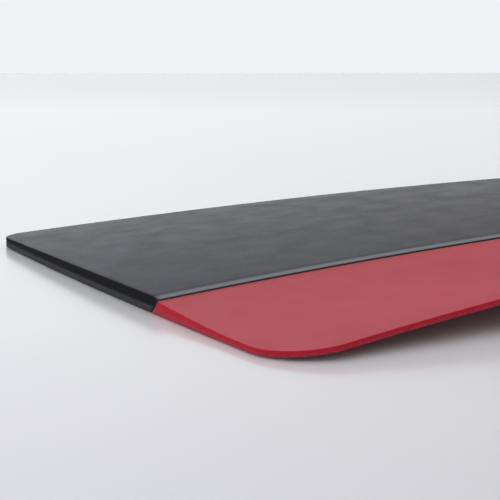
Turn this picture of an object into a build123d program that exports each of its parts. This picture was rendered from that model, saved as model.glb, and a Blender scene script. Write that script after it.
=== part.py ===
"""Climbing skin for a short touring ski: a two-zone sheet with an adjustable wire tip loop.

X runs along the skin, tail at -X and tip at +X. Y runs across it, the red zone at -Y. Z is up.
The plush side faces down and the sticky side faces up. The origin is the centre of the footprint,
on the floor. All sizes are in millimetres.
"""

from build123d import *
import math
import os

os.makedirs("parts", exist_ok=True)

# Outline of the sheet, seen from above
HALF_LENGTH = 220.0  # tail to the front of the wire loop is twice this
TAIL_HALF_WIDTH = 55.0
TAIL_BULGE = 1.0  # the tail edge is slightly convex
BLACK_CORNER_RADIUS = 3.5
RED_CORNER_RADIUS = 7.5
WAIST_X = -70.0
WAIST_HALF_WIDTH = 41.0
SHOULDER_X = 70.0
NOSE_X = 152.0
NOSE_HALF_WIDTH = 22.0
SEAM_Y = -21.0  # red is below this Y and black above it

# Layers of the sheet, counted up from its underside
PLUSH = 1.0
MEMBRANE = 0.2
PATCH = 1.0
BLACK_GLUE_AT_SEAM = 1.25
BLACK_GLUE_AT_EDGE = 0.5
GLUE_END_X = 108.0

# The red zone is skived thin: heights above the underside at the seam, at the knee and at the edge
KNEE_Y = -42.0
RED_UNDERSIDE = (0.0, 0.05, 0.2)
RED_PLUSH_TOP = (PLUSH, 0.42, 0.36)
RED_MEMBRANE_TOP = (PLUSH + MEMBRANE, 0.58, 0.5)
RED_GLUE_TOP = (2.2, 0.92, 0.78)
RED_PATCH_TOP = (PLUSH + MEMBRANE + PATCH, 1.55, 1.45)

# The sheet bows up between its tail and its tip plates
BOW_HEIGHT = 8.0
NOSE_LEVEL = 2.2
REVERSE_RADIUS = 700.0

# Tip plates and their rivets
PLATE_REAR_X = 111.0
PLATE_FRONT_X = 158.0
PLATE_REAR_HALF_WIDTH = 22.5
PLATE_FRONT_HALF_WIDTH = 16.5
PLATE_CORNER_RADIUS = 6.0
SKID_MARGIN = 1.0  # the lower plate stands out past the upper one
TOP_PLATE = 2.8
RIVET_PLACES = [(117.0, 17.0), (117.0, -17.0), (146.0, 12.0), (146.0, -12.0)]
RIVET_RADIUS = 2.0
RIVET_HEAD_RADIUS = 4.0
CLENCH_RADIUS = 3.4
WASHER_RADIUS = 4.0
WASHER = 0.6
FIT = 0.05  # radial clearance of pins and rivets
CLEAR = 0.3  # gap between pieces that slide past each other

# Swivel and cam buckle
SWIVEL_FOOT_Z = 0.3
SWIVEL_FLANGE = 0.7
SWIVEL_HEAD = 1.0
SWIVEL_X = 126.0
SWIVEL_RADIUS = 3.0
SWIVEL_HEAD_RADIUS = 4.5
SWIVEL_WASHER_RADIUS = 9.0
FRAME_REAR_X = 115.5
FRAME_FRONT_X = 152.0
FRAME_HALF_WIDTH = 13.0
FRAME_BASE = 2.2
BAR_LENGTH = 2.5  # the bar over the strap
BAR_HEIGHT = 2.0
CHEEK = 3.0
CHEEK_REAR_X = 131.0
CHEEK_TOP = 20.0
CAM_X = 141.0
CAM_PIN_RADIUS = 1.5
CAM_HUB_RADIUS = 3.6
CAM_NOSE_RADIUS = 5.2
LEVER_HALF_WIDTH = 9.6

# Strap and wire loop
STRAP_HALF_WIDTH = 9.0
STRAP = 1.5
STRAP_REAR_X = 97.0
STOP_FRONT_X = 105.0
STOP_LENGTH = 10.0
STOP_HALF_WIDTH = 12.0
STOP = 3.0
LAP_REAR_X = 153.5
LAP_FRONT_X = 162.0
BAIL_AXIS_X = 172.0
WIRE_RADIUS = 1.6
LOOP_INNER_RADIUS = 1.9
SLEEVE_RADIUS = 3.0
SLEEVE_HALF_LENGTH = 19.0
BAIL_REAR_HALF_WIDTH = 14.5
BAIL_FRONT_HALF_WIDTH = 32.0

# Sizes that follow from others
OUTER_Y = TAIL_HALF_WIDTH + 2
GLUE = PLUSH + MEMBRANE
MEMBRANE_Z = NOSE_LEVEL + PLUSH
PATCH_Z = MEMBRANE_Z + MEMBRANE
TOP_PLATE_Z = PATCH_Z + PATCH
SWIVEL_WASHER_Z = TOP_PLATE_Z + TOP_PLATE
FRAME_Z = SWIVEL_WASHER_Z + WASHER + FIT
FRAME_TOP_Z = FRAME_Z + FRAME_BASE
STRAP_Z = FRAME_TOP_Z + CLEAR
STRAP_TOP_Z = STRAP_Z + STRAP
CAM_Z = STRAP_TOP_Z + CLEAR + CAM_NOSE_RADIUS
LOOP_OUTER_RADIUS = LOOP_INNER_RADIUS + STRAP
BAIL_AXIS_Z = STRAP_TOP_Z - LOOP_OUTER_RADIUS

written = []


def finish_piece(piece, label):
    """Labels a finished piece and writes its STEP file."""
    piece.part.label = label
    export_step(piece.part, f"parts/{label}.step")
    written.append(label)


def side_y(x):
    """Half width of the sheet on its sidecut arc."""
    reach = WAIST_X + HALF_LENGTH - TAIL_BULGE
    flare = TAIL_HALF_WIDTH - WAIST_HALF_WIDTH
    radius = (reach**2 + flare**2) / (2 * flare)
    return WAIST_HALF_WIDTH + radius - math.sqrt(radius**2 - (x - WAIST_X) ** 2)


# Sheet outline: tail edge, two sidecut arcs and a rounded nose
with BuildSketch() as sheet_outline:
    tail_x = -HALF_LENGTH + TAIL_BULGE
    with BuildLine():
        for side in (1, -1):
            shoulder = (SHOULDER_X, side * side_y(SHOULDER_X))
            sidecut = ThreePointArc(
                (tail_x, side * TAIL_HALF_WIDTH), (WAIST_X, side * WAIST_HALF_WIDTH), shoulder
            )
            TangentArc(shoulder, (NOSE_X, side * NOSE_HALF_WIDTH), tangent=sidecut % 1)
        Line((NOSE_X, NOSE_HALF_WIDTH), (NOSE_X, -NOSE_HALF_WIDTH))
        ThreePointArc((tail_x, -TAIL_HALF_WIDTH), (-HALF_LENGTH, 0), (tail_x, TAIL_HALF_WIDTH))
    make_face()
    fillet(vertices().group_by(Axis.X)[0].sort_by(Axis.Y)[-1], BLACK_CORNER_RADIUS)
    fillet(vertices().sort_by(Axis.Y)[0], RED_CORNER_RADIUS)

# Rounded trapezoid of the tip plates
with BuildSketch() as plate_outline:
    rear, front = PLATE_REAR_HALF_WIDTH, PLATE_FRONT_HALF_WIDTH
    with BuildLine():
        Polyline(
            (PLATE_REAR_X, rear),
            (PLATE_FRONT_X, front),
            (PLATE_FRONT_X, -front),
            (PLATE_REAR_X, -rear),
            close=True,
        )
    make_face()
    fillet(vertices(), PLATE_CORNER_RADIUS)

# The path of the sheet's underside: one long arc, a short reverse arc, then level at the nose
bow_half_span = WAIST_X + HALF_LENGTH
bow_radius = (bow_half_span**2 + BOW_HEIGHT**2) / (2 * BOW_HEIGHT)
reverse_angle = math.acos(1 - (BOW_HEIGHT - NOSE_LEVEL) / (bow_radius + REVERSE_RADIUS))
start_angle = math.asin((bow_half_span + 6) / bow_radius)
start_drop = bow_radius * (1 - math.cos(start_angle))
bow_start = (WAIST_X - bow_radius * math.sin(start_angle), BOW_HEIGHT - start_drop)
with BuildLine(Plane.XZ) as sheet_path:
    bow = JernArc(
        start=bow_start,
        tangent=(math.cos(start_angle), math.sin(start_angle)),
        radius=bow_radius,
        arc_size=-math.degrees(start_angle + reverse_angle),
    )
    dip = JernArc(
        start=bow @ 1, tangent=bow % 1, radius=REVERSE_RADIUS, arc_size=math.degrees(reverse_angle)
    )
    Line(dip @ 1, dip @ 1 + Vector(NOSE_X + 10 - (dip @ 1).X, 0, 0))
section_plane = Plane(origin=sheet_path.line @ 0, x_dir=(0, 1, 0), z_dir=sheet_path.line % 0)


def sheet_layer(section, start_x=-HALF_LENGTH - 1, end_x=NOSE_X + 1):
    """Adds one layer of the bowed sheet, given its section as (y, height above the underside) corners."""
    with BuildSketch(section_plane) as profile:
        with BuildLine():
            Polyline(section, close=True)
        make_face()
    sweep(profile.sketch, path=sheet_path.line)
    with BuildSketch(Plane.XY.offset(-5)) as cut:
        add(sheet_outline.sketch)
        with Locations(((start_x + end_x) / 2, 0)):
            Rectangle(end_x - start_x, 4 * TAIL_HALF_WIDTH, mode=Mode.INTERSECT)
    extrude(cut.sketch, amount=40, mode=Mode.INTERSECT)


def red_line(heights):
    """Section points from the seam out to the red edge."""
    return list(zip((SEAM_Y, KNEE_Y, -OUTER_Y), heights))


def stack_holes():
    """Drills the open part for the tip rivets and the swivel pin."""
    with Locations(*[(x, y, 10) for x, y in RIVET_PLACES]):
        Cylinder(RIVET_RADIUS + FIT, 40, mode=Mode.SUBTRACT)
    with Locations((SWIVEL_X, 0, 10)):
        Cylinder(SWIVEL_RADIUS + FIT, 40, mode=Mode.SUBTRACT)


# Plush side: nap pile on a woven base, one strip of each colour
with BuildPart() as plush_black:
    sheet_layer([(SEAM_Y, 0), (OUTER_Y, 0), (OUTER_Y, PLUSH), (SEAM_Y, PLUSH)])
    stack_holes()
finish_piece(plush_black, "plush_black")

with BuildPart() as plush_red:
    sheet_layer(red_line(RED_UNDERSIDE) + red_line(RED_PLUSH_TOP)[::-1])
finish_piece(plush_red, "plush_red")

# Waterproof membrane that holds both plush strips together
with BuildPart() as membrane:
    black_side = [(OUTER_Y, PLUSH), (OUTER_Y, GLUE)]
    sheet_layer(black_side + red_line(RED_MEMBRANE_TOP) + red_line(RED_PLUSH_TOP)[::-1])
    stack_holes()
finish_piece(membrane, "membrane")

# Adhesive side: the black zone is crowned and stands proud of the red zone at the seam
with BuildPart() as adhesive_black:
    crown = [(OUTER_Y, GLUE + BLACK_GLUE_AT_EDGE), (SEAM_Y, GLUE + BLACK_GLUE_AT_SEAM)]
    sheet_layer([(SEAM_Y, GLUE), (OUTER_Y, GLUE)] + crown, end_x=GLUE_END_X)
finish_piece(adhesive_black, "adhesive_black")

with BuildPart() as adhesive_red:
    sheet_layer(red_line(RED_MEMBRANE_TOP) + red_line(RED_GLUE_TOP)[::-1], end_x=GLUE_END_X)
finish_piece(adhesive_red, "adhesive_red")

# Fabric patch that reinforces the nose, and the thread that sews it down
PATCH_REAR_X = GLUE_END_X + 0.3
with BuildPart() as nose_patch:
    black_side = [(OUTER_Y, GLUE), (OUTER_Y, GLUE + PATCH)]
    patch_section = black_side + red_line(RED_PATCH_TOP) + red_line(RED_MEMBRANE_TOP)[::-1]
    sheet_layer(patch_section, start_x=PATCH_REAR_X)
    stack_holes()
finish_piece(nose_patch, "nose_patch")

STITCH_INSET = 4.0
STITCH_LENGTH = 2.6
STITCH_PITCH = 4.0
STITCH_WIDTH = 0.6
STITCH_HEIGHT = 0.3
STITCH_LIFT = 0.05  # clears the sloping patch
with BuildSketch() as stitch_guide:
    add(sheet_outline.sketch)
    offset(amount=-STITCH_INSET, mode=Mode.REPLACE)
    with Locations(((GLUE_END_X + PLATE_FRONT_X) / 2, 0)):
        Rectangle(PLATE_FRONT_X - GLUE_END_X - 5, 120, mode=Mode.INTERSECT)
stitch_runs = [e for e in stitch_guide.sketch.edges() if e.geom_type != GeomType.LINE or e.center().X < 115]
with BuildPart() as patch_stitching:
    for run in stitch_runs:
        count = int(run.length // STITCH_PITCH)
        for i in range(count):
            share = (i + 0.5) / count
            place = run @ share
            heading = run % share
            under_plate = abs(place.Y) < PLATE_REAR_HALF_WIDTH + 1 and place.X > PLATE_REAR_X - 3
            if not under_plate:
                over_taper = min(1.0, max(0.0, (SEAM_Y - place.Y) / (SEAM_Y - KNEE_Y)))
                drop = over_taper * (RED_PATCH_TOP[0] - RED_PATCH_TOP[1])
                foot = TOP_PLATE_Z - drop + STITCH_LIFT
                level = Plane((place.X, place.Y, foot), x_dir=(heading.X, heading.Y, 0))
                with BuildSketch(level):
                    SlotOverall(STITCH_LENGTH, STITCH_WIDTH)
                extrude(amount=STITCH_HEIGHT)
finish_piece(patch_stitching, "patch_stitching")

# Tip plates: the lower one is a skid with a rim that closes the nose, the upper one takes the swivel
CLENCH_DEPTH = 1.4
with BuildPart() as tip_plate_bottom:
    with BuildSketch() as skid:
        add(plate_outline.sketch)
        offset(amount=SKID_MARGIN, mode=Mode.REPLACE)
    extrude(amount=NOSE_LEVEL)
    fillet(edges().group_by(Axis.Z)[0], 0.9)
    with BuildSketch(Plane.XY.offset(NOSE_LEVEL)):
        add(skid.sketch_local)
        with Locations((NOSE_X + 0.3 - 50, 0)):
            Rectangle(100, 100, mode=Mode.SUBTRACT)
    extrude(amount=TOP_PLATE_Z - NOSE_LEVEL)
    stack_holes()
    with Locations(*[(x, y, CLENCH_DEPTH / 2) for x, y in RIVET_PLACES]):
        Cylinder(WASHER_RADIUS + 0.2, CLENCH_DEPTH, mode=Mode.SUBTRACT)
    with Locations((SWIVEL_X, 0, 0.5)):
        Cylinder(SWIVEL_HEAD_RADIUS + 0.2, 1.0, mode=Mode.SUBTRACT)
finish_piece(tip_plate_bottom, "tip_plate_bottom")

HEAD_DEPTH = 1.8
with BuildPart() as tip_plate_top:
    with BuildSketch(Plane.XY.offset(TOP_PLATE_Z)):
        add(plate_outline.sketch)
    extrude(amount=TOP_PLATE)
    fillet(edges().group_by(Axis.Z)[-1], 0.8)
    stack_holes()
    for x, y in RIVET_PLACES:
        with Locations((x, y, SWIVEL_WASHER_Z - HEAD_DEPTH / 2)):
            Cone(RIVET_RADIUS + FIT, RIVET_HEAD_RADIUS + FIT, HEAD_DEPTH, mode=Mode.SUBTRACT)
finish_piece(tip_plate_top, "tip_plate_top")

with BuildPart() as plate_rivets:
    for x, y in RIVET_PLACES:
        clench_z = CLENCH_DEPTH - WASHER
        shank = SWIVEL_WASHER_Z - HEAD_DEPTH - clench_z
        with Locations((x, y, clench_z + shank / 2)):
            Cylinder(RIVET_RADIUS, shank)
        with Locations((x, y, SWIVEL_WASHER_Z - HEAD_DEPTH / 2)):
            Cone(RIVET_RADIUS, RIVET_HEAD_RADIUS, HEAD_DEPTH)
        with Locations((x, y, clench_z - 0.3)):
            Cylinder(CLENCH_RADIUS, 0.6)
finish_piece(plate_rivets, "plate_rivets")

with BuildPart() as rivet_washers:
    for x, y in RIVET_PLACES:
        with Locations((x, y, CLENCH_DEPTH - WASHER / 2)):
            Cylinder(WASHER_RADIUS, WASHER)
            Cylinder(RIVET_RADIUS + FIT, WASHER, mode=Mode.SUBTRACT)
finish_piece(rivet_washers, "rivet_washers")

# Swivel: a headed pin through the whole stack, and an acetal washer under the buckle
with BuildPart() as swivel_pin:
    head_z = FRAME_Z + SWIVEL_HEAD
    shank_z = SWIVEL_FOOT_Z + SWIVEL_FLANGE
    with Locations((SWIVEL_X, 0, (shank_z + head_z) / 2)):
        Cylinder(SWIVEL_RADIUS, head_z - shank_z)
    with Locations((SWIVEL_X, 0, head_z + SWIVEL_HEAD / 2)):
        Cylinder(SWIVEL_HEAD_RADIUS, SWIVEL_HEAD)
    with Locations((SWIVEL_X, 0, SWIVEL_FOOT_Z + SWIVEL_FLANGE / 2)):
        Cylinder(SWIVEL_HEAD_RADIUS - 0.3, SWIVEL_FLANGE)
finish_piece(swivel_pin, "swivel_pin")

with BuildPart() as swivel_washer:
    with Locations((SWIVEL_X, 0, SWIVEL_WASHER_Z + WASHER / 2)):
        Cylinder(SWIVEL_WASHER_RADIUS, WASHER)
        Cylinder(SWIVEL_RADIUS + FIT, WASHER, mode=Mode.SUBTRACT)
finish_piece(swivel_washer, "swivel_washer")

# Cam buckle frame: base, two cheeks and a bar that keeps the strap down
with BuildPart() as buckle_frame:
    frame_length = FRAME_FRONT_X - FRAME_REAR_X
    with BuildSketch(Plane.XY.offset(FRAME_Z)):
        with Locations(((FRAME_REAR_X + FRAME_FRONT_X) / 2, 0)):
            Rectangle(frame_length, 2 * FRAME_HALF_WIDTH)
        fillet(vertices().group_by(Axis.X)[0], 8)
    extrude(amount=FRAME_BASE)
    for side in (1, -1):
        with BuildSketch(Plane.XZ.offset(-side * (FRAME_HALF_WIDTH - CHEEK))):
            with BuildLine():
                Polyline(
                    (CHEEK_REAR_X, FRAME_TOP_Z),
                    (CHEEK_REAR_X + 5, CHEEK_TOP),
                    (CAM_X + 4, CHEEK_TOP),
                    (FRAME_FRONT_X, FRAME_TOP_Z + 5),
                    (FRAME_FRONT_X, FRAME_TOP_Z),
                    close=True,
                )
            make_face()
            fillet(vertices().group_by(Axis.Y)[-1], 3)
        extrude(amount=-side * CHEEK)
    with Locations((FRAME_FRONT_X - 2.25, 0, STRAP_TOP_Z + CLEAR + BAR_HEIGHT / 2 + 0.05)):
        Box(BAR_LENGTH, 2 * (FRAME_HALF_WIDTH - CHEEK), BAR_HEIGHT)
    with Locations(Location((CAM_X, 0, CAM_Z), (90, 0, 0))):
        Cylinder(CAM_PIN_RADIUS + 0.02, 60, mode=Mode.SUBTRACT)
    with Locations((SWIVEL_X, 0, FRAME_Z + 1)):
        Cylinder(SWIVEL_RADIUS + FIT, 10, mode=Mode.SUBTRACT)
    with Locations((SWIVEL_X, 0, FRAME_Z + 0.95 + 1)):
        Cylinder(SWIVEL_HEAD_RADIUS + 0.2, 2, mode=Mode.SUBTRACT)
finish_piece(buckle_frame, "buckle_frame")

with BuildPart() as cam_pin:
    with Locations(Location((CAM_X, 0, CAM_Z), (90, 0, 0))):
        Cylinder(CAM_PIN_RADIUS, 2 * FRAME_HALF_WIDTH - 0.2)
finish_piece(cam_pin, "cam_pin")

# Cam lever: toothed nose under the pin, thumb arm lying back over the strap, with a soft pad
PAD_REAR, PAD_FRONT = -33.0, -15.0  # from the cam's axis
PAD_WIDTH = 14.0
PAD = 1.6
PAD_Z = CAM_Z + 3.1
with BuildPart() as cam_lever:
    with BuildSketch(Plane.XZ.offset(-LEVER_HALF_WIDTH)):
        with Locations((CAM_X, CAM_Z)):
            Circle(CAM_HUB_RADIUS)
        with BuildLine():
            teeth = [(-2.2, -4.9), (-1.5, -4.4), (-0.8, -5.2), (-0.1, -4.7), (0.6, -5.2), (1.3, -4.5)]
            nose = [(-3.2, -1.2)] + teeth + [(2.0, -4.6), (3.4, -0.6)]
            Polyline([(CAM_X + x, CAM_Z + z) for x, z in nose], close=True)
        make_face()
        with BuildLine():
            arm = [(0, CAM_HUB_RADIUS), (-12, 3.3), (-31, 3.0), (-37, 4.6)]
            arm += [(-37.6, 2.8), (-31, 0.6), (-10, 0.2), (-2, -2)]
            Polyline([(CAM_X + x, CAM_Z + z) for x, z in arm], close=True)
        make_face()
    extrude(amount=2 * LEVER_HALF_WIDTH)
    with Locations(Location((CAM_X, 0, CAM_Z), (90, 0, 0))):
        Cylinder(CAM_PIN_RADIUS + FIT, 60, mode=Mode.SUBTRACT)
    with Locations((CAM_X + (PAD_REAR + PAD_FRONT) / 2, 0, PAD_Z)):
        Box(PAD_FRONT - PAD_REAR + 2 * FIT, PAD_WIDTH + 2 * FIT, PAD, mode=Mode.SUBTRACT)
finish_piece(cam_lever, "cam_lever")

with BuildPart() as lever_pad:
    with Locations((CAM_X + (PAD_REAR + PAD_FRONT) / 2, 0, PAD_Z)):
        Box(PAD_FRONT - PAD_REAR, PAD_WIDTH, PAD)
    fillet(edges().group_by(Axis.Z)[-1], 0.5)
finish_piece(lever_pad, "lever_pad")


def tangent_point(radius, point):
    """Where a line from a point behind the loop touches the underside of a circle round the bail axis."""
    dx, dz = point[0] - BAIL_AXIS_X, point[1] - BAIL_AXIS_Z
    angle = math.atan2(dz, dx) + math.acos(radius / math.hypot(dx, dz))
    return (BAIL_AXIS_X + radius * math.cos(angle), BAIL_AXIS_Z + radius * math.sin(angle))


# Strap: one ply that runs through the buckle, laps round the bail and is sewn back to itself
lap_z = STRAP_Z - STRAP
outer_touch = tangent_point(LOOP_OUTER_RADIUS, (LAP_FRONT_X, lap_z))
eye_point = (LAP_FRONT_X + 1.5, STRAP_Z)
inner_touch = tangent_point(LOOP_INNER_RADIUS, eye_point)
with BuildPart() as strap:
    with BuildSketch(Plane.XZ.offset(-STRAP_HALF_WIDTH)):
        with BuildLine():
            Polyline((BAIL_AXIS_X, STRAP_TOP_Z), (STRAP_REAR_X, STRAP_TOP_Z), (STRAP_REAR_X, STRAP_Z))
            Polyline((STRAP_REAR_X, STRAP_Z), (LAP_REAR_X, STRAP_Z), (LAP_REAR_X, lap_z))
            Polyline((LAP_REAR_X, lap_z), (LAP_FRONT_X, lap_z), outer_touch)
            outer_front = (BAIL_AXIS_X + LOOP_OUTER_RADIUS, BAIL_AXIS_Z)
            ThreePointArc(outer_touch, outer_front, (BAIL_AXIS_X, STRAP_TOP_Z))
        make_face()
        with BuildLine():
            Polyline((BAIL_AXIS_X, STRAP_Z), eye_point, inner_touch)
            inner_front = (BAIL_AXIS_X + LOOP_INNER_RADIUS, BAIL_AXIS_Z)
            ThreePointArc(inner_touch, inner_front, (BAIL_AXIS_X, STRAP_Z))
        make_face(mode=Mode.SUBTRACT)
    extrude(amount=2 * STRAP_HALF_WIDTH)
finish_piece(strap, "strap")

# Moulded stop that keeps the tail of the strap from slipping through the buckle
with BuildPart() as strap_stop:
    with Locations((STOP_FRONT_X - STOP_LENGTH / 2, 0, STRAP_Z + STOP / 2)):
        Box(STOP_LENGTH, 2 * STOP_HALF_WIDTH, STOP)
    fillet(edges().filter_by(Axis.Z), 2.5)
    fillet(edges().group_by(Axis.Z)[-1], 0.8)
    with Locations(((STRAP_REAR_X + STOP_FRONT_X) / 2 + 1, 0, STRAP_Z + STRAP / 2)):
        Box(STOP_FRONT_X - STRAP_REAR_X + 2, 2 * STRAP_HALF_WIDTH, STRAP, mode=Mode.SUBTRACT)
finish_piece(strap_stop, "strap_stop")

# Zigzag rows of thread over the lap
TACK_ROWS = 3
TACK_ROW_PITCH = 2.6
TACKS_PER_ROW = 8
TACK_PITCH = 1.7
TACK_ANGLE = 55.0
with BuildPart() as strap_bartack:
    for row in range(TACK_ROWS):
        for i in range(TACKS_PER_ROW):
            turn = TACK_ANGLE if i % 2 else -TACK_ANGLE
            place = (LAP_REAR_X + 2.2 + TACK_ROW_PITCH * row, (i - (TACKS_PER_ROW - 1) / 2) * TACK_PITCH)
            with BuildSketch(Plane(place + (STRAP_TOP_Z,)).rotated((0, 0, turn))):
                SlotOverall(1.9, 0.45)
            extrude(amount=0.25)
finish_piece(strap_bartack, "strap_bartack")

# Wire loop: hinges in the strap's eye and rests on the floor on its soft sleeve
bail_run = HALF_LENGTH - SLEEVE_RADIUS - BAIL_AXIS_X
bail_drop = BAIL_AXIS_Z - SLEEVE_RADIUS
bail_length = math.hypot(bail_run, bail_drop)
bail_plane = Plane(
    origin=(BAIL_AXIS_X, 0, BAIL_AXIS_Z), x_dir=(bail_run, 0, -bail_drop), z_dir=(bail_drop, 0, bail_run)
)
BUTT_GAP = 0.15
with BuildPart() as wire_bail:
    with BuildLine(bail_plane) as bail_path:
        FilletPolyline(
            (0, BUTT_GAP),
            (0, BAIL_REAR_HALF_WIDTH),
            (bail_length, BAIL_FRONT_HALF_WIDTH),
            (bail_length, -BAIL_FRONT_HALF_WIDTH),
            (0, -BAIL_REAR_HALF_WIDTH),
            (0, -BUTT_GAP),
            radius=[5, 8, 8, 5],
        )
    with BuildSketch(Plane(bail_path.line @ 0, z_dir=bail_path.line % 0)):
        Circle(WIRE_RADIUS)
    sweep(path=bail_path.line)
finish_piece(wire_bail, "wire_bail")

with BuildPart() as bail_sleeve:
    with Locations(Location((HALF_LENGTH - SLEEVE_RADIUS, 0, SLEEVE_RADIUS), (90, 0, 0))):
        Cylinder(SLEEVE_RADIUS, 2 * SLEEVE_HALF_LENGTH)
        Cylinder(WIRE_RADIUS + FIT, 2 * SLEEVE_HALF_LENGTH, mode=Mode.SUBTRACT)
    rims = edges().filter_by(GeomType.CIRCLE).filter_by(lambda rim: rim.radius > SLEEVE_RADIUS - 0.1)
    fillet(rims, 0.8)
finish_piece(bail_sleeve, "bail_sleeve")

print(len(written), "pieces written")
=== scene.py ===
"""Looks of the climbing skin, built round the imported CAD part.

Lengths are in millimetres until a mesh is made, when they become metres. The tail is at -X, the
wire loop at +X, the red zone at -Y, and the sticky side faces up.
"""

import math

import bmesh
import bpy
from mathutils import Matrix, Vector, kdtree, noise


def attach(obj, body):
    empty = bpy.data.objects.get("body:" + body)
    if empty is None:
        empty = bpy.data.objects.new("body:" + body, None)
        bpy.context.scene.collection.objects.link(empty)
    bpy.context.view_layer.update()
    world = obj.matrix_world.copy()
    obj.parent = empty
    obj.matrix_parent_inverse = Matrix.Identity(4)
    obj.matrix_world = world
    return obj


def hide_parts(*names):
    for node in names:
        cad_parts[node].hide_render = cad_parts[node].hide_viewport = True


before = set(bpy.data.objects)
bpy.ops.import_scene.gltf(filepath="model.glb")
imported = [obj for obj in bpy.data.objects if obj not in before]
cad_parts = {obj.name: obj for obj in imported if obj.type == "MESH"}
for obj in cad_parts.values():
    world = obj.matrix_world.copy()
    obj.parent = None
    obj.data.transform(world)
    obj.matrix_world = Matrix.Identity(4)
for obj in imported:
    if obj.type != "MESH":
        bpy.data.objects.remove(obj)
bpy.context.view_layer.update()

MM = 0.001
NO_CUTS = 1000.0  # a grid step longer than the object

# Plan of the sheet, the same as the CAD part's
TAIL_X, TAIL_TIP_X, TAIL_HALF = -219.0, -220.0, 55.0
WAIST_X, WAIST_HALF = -70.0, 41.0
SHOULDER_X, NOSE_X, NOSE_HALF = 70.0, 152.0, 22.0
SEAM_Y = -21.0
BLACK_CORNER, RED_CORNER = 3.5, 7.5
GLUE_END_X = 108.0
PLATE_REAR_X, PLATE_REAR_HALF = 111.0, 22.5
PATCH_THICK = 1.0

# Bow of the sheet
BOW_HEIGHT, NOSE_LEVEL, DIP_RADIUS = 8.0, 2.2, 700.0
BOW_HALF = WAIST_X - TAIL_TIP_X
BOW_RADIUS = (BOW_HALF**2 + BOW_HEIGHT**2) / (2 * BOW_HEIGHT)
DIP_ANGLE = math.acos(1 - (BOW_HEIGHT - NOSE_LEVEL) / (BOW_RADIUS + DIP_RADIUS))
DIP_START = WAIST_X + BOW_RADIUS * math.sin(DIP_ANGLE)
DIP_END = DIP_START + DIP_RADIUS * math.sin(DIP_ANGLE)

# Heights of the layers above the underside: in the black zone, then at the red's seam, knee and edge
PLUSH, FILM_TOP = 1.0, 1.2
KNEE_Y, RED_EDGE_Y = -42.0, -57.0
RED_UNDERSIDE = (0.0, 0.0, 0.05)
RED_PLUSH_TOP = (PLUSH, 0.42, 0.36)
RED_FILM_TOP = (FILM_TOP, 0.58, 0.5)
RED_COAT_TOP = (2.2, 0.92, 0.78)
RED_PATCH_TOP = (2.2, 1.55, 1.45)
BLACK_GLUE_AT_SEAM, BLACK_GLUE_AT_EDGE = 1.25, 0.5

# Seam: a lip along it, painted pale as a highlight, and a slant that takes the red zone under the black one
LIP_WIDTH = 1.7
SEAM_SLANT, SLANT_FADE = 2.6, 6.0
SEAM_STEP = 0.22  # the red coat lies this much lower at the seam


def under_z(x):
    """Height of the sheet's underside above the floor."""
    if x < DIP_START:
        return BOW_HEIGHT - BOW_RADIUS + math.sqrt(BOW_RADIUS**2 - (x - WAIST_X) ** 2)
    if x < DIP_END:
        return NOSE_LEVEL + DIP_RADIUS - math.sqrt(DIP_RADIUS**2 - (DIP_END - x) ** 2)
    return NOSE_LEVEL


def ripple(x, y):
    """Slight unevenness of a rolled-out sheet, none at the tail or under the plates."""
    fade = min(1.0, max(0.0, (100 - x) / 60), max(0.0, (x - TAIL_TIP_X) / 40))
    return 0.05 * fade * (0.5 + 0.5 * noise.noise(Vector((x / 38, y / 24, 3.1))))


def red_height(levels, y):
    """A layer's height in the red zone, curving smoothly through its three given heights."""
    at_seam, at_knee, at_edge = levels
    if y > KNEE_Y:
        share = min(1.0, max(0.0, (SEAM_Y - y) / (SEAM_Y - KNEE_Y)))
        return at_knee + (at_seam - at_knee) * (1 - share) ** 1.35
    return at_knee + (at_edge - at_knee) * (KNEE_Y - y) / (KNEE_Y - RED_EDGE_Y)


# ---------------------------------------------------------------- plan curves


def arc(centre, radius, start, end, step):
    """Points along a circular arc, from one angle to another, in radians."""
    count = max(2, int(abs(end - start) * radius / step))
    angles = [start + (end - start) * i / count for i in range(count + 1)]
    return [(centre[0] + radius * math.cos(a), centre[1] + radius * math.sin(a)) for a in angles]


def angle_to(centre, point):
    """Direction from a centre to a point, in radians."""
    return math.atan2(point[1] - centre[1], point[0] - centre[0])


TAIL_RADIUS = (TAIL_HALF**2 + (TAIL_X - TAIL_TIP_X) ** 2) / (2 * (TAIL_X - TAIL_TIP_X))
TAIL_CENTRE = (TAIL_TIP_X + TAIL_RADIUS, 0.0)
FLARE = TAIL_HALF - WAIST_HALF
SIDE_RADIUS = ((WAIST_X - TAIL_X) ** 2 + FLARE**2) / (2 * FLARE)
SIDE_CENTRE = (WAIST_X, WAIST_HALF + SIDE_RADIUS)


def tail_edge_x(y):
    """X position of the tail's cut end."""
    return TAIL_CENTRE[0] - math.sqrt(TAIL_RADIUS**2 - y**2)


def corner_centre(radius):
    """Centre of the arc that rounds a tail corner, tangent to the tail and sidecut arcs."""
    a, b = TAIL_RADIUS - radius, SIDE_RADIUS + radius
    dx, dy = SIDE_CENTRE[0] - TAIL_CENTRE[0], SIDE_CENTRE[1] - TAIL_CENTRE[1]
    apart = math.hypot(dx, dy)
    along = (a * a - b * b + apart * apart) / (2 * apart)
    aside = math.sqrt(a * a - along * along)
    ux, uy = dx / apart, dy / apart
    return (TAIL_CENTRE[0] + along * ux - aside * uy, TAIL_CENTRE[1] + along * uy + aside * ux)


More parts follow.
